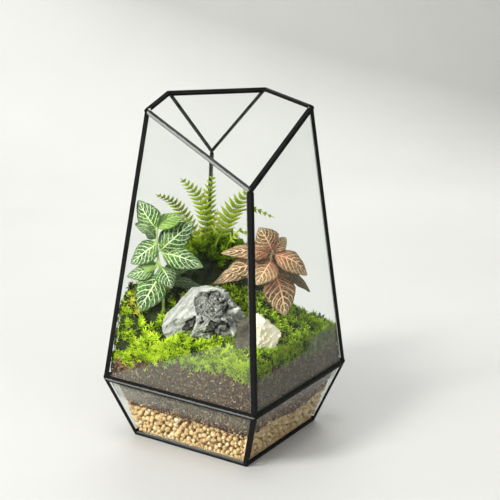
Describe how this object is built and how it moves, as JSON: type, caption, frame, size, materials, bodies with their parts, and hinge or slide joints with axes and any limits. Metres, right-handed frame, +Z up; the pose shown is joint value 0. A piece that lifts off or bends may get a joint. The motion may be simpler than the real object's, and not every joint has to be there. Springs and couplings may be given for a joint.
{
  "type": "glass plant terrarium",
  "caption": "Faceted glass case with black metal bars and a slanting open mouth, filled with pebbles, soil, moss, rocks, a fern and two veined-leaf plants.",
  "frame": {"origin": "Middle of the base, on the surface the case stands on", "axes": "+Z up; the front corner of the case points to -Y; +X is to the right as seen from the front; the slanting mouth is lowest at the front corner"},
  "size_m": [0.2, 0.2, 0.2755],
  "materials": {
    "metal": "satin black paint",
    "glass": "clear, polished",
    "gravel": "matt rounded pebbles",
    "soil": "crumbly, matt, with fibres",
    "moss": "soft, matt",
    "moss_dark": "soft, matt",
    "rock_grey": "rough broken stone",
    "rock_tan": "rough sandstone",
    "fern": "leaf, soft sheen",
    "leaf_white": "leaf with white veins, soft sheen",
    "leaf_pink": "bronze leaf with pink veins, soft sheen"
  },
  "bodies": {
    "root": {"base_bar_back_left": "metal", "base_bar_back_right": "metal", "base_bar_front_left": "metal", "base_bar_front_right": "metal", "fern_frond_back": "fern", "fern_frond_far_left": "fern", "fern_frond_far_right": "fern", "fern_frond_left": "fern", "fern_frond_low_right": "fern", "fern_frond_middle": "fern", "fern_frond_right": "fern", "gable_bar_left": "metal", "gable_bar_right": "metal", "gravel": "gravel", "lower_bar_back": "metal", "lower_bar_front": "metal", "lower_bar_left": "metal", "lower_bar_right": "metal", "moss_carpet": "moss", "moss_mound": "moss_dark", "nerve_plant_pink": "leaf_pink", "nerve_plant_white": "leaf_white", "pane_base": "glass", "pane_gable": "glass", "pane_lower_back_left": "glass", "pane_lower_back_right": "glass", "pane_lower_front_left": "glass", "pane_lower_front_right": "glass", "pane_upper_back_left": "glass", "pane_upper_back_right": "glass", "pane_upper_front_left": "glass", "pane_upper_front_right": "glass", "rim_bar_back_left": "metal", "rim_bar_back_right": "metal", "rim_bar_front_left": "metal", "rim_bar_front_right": "metal", "rim_bar_ridge": "metal", "rock_grey": "rock_grey", "rock_tan": "rock_tan", "soil": "soil", "upper_bar_back": "metal", "upper_bar_front": "metal", "upper_bar_left": "metal", "upper_bar_right": "metal", "waist_bar_back_left": "metal", "waist_bar_back_right": "metal", "waist_bar_front_left": "metal", "waist_bar_front_right": "metal"}
  },
  "joints": []
}
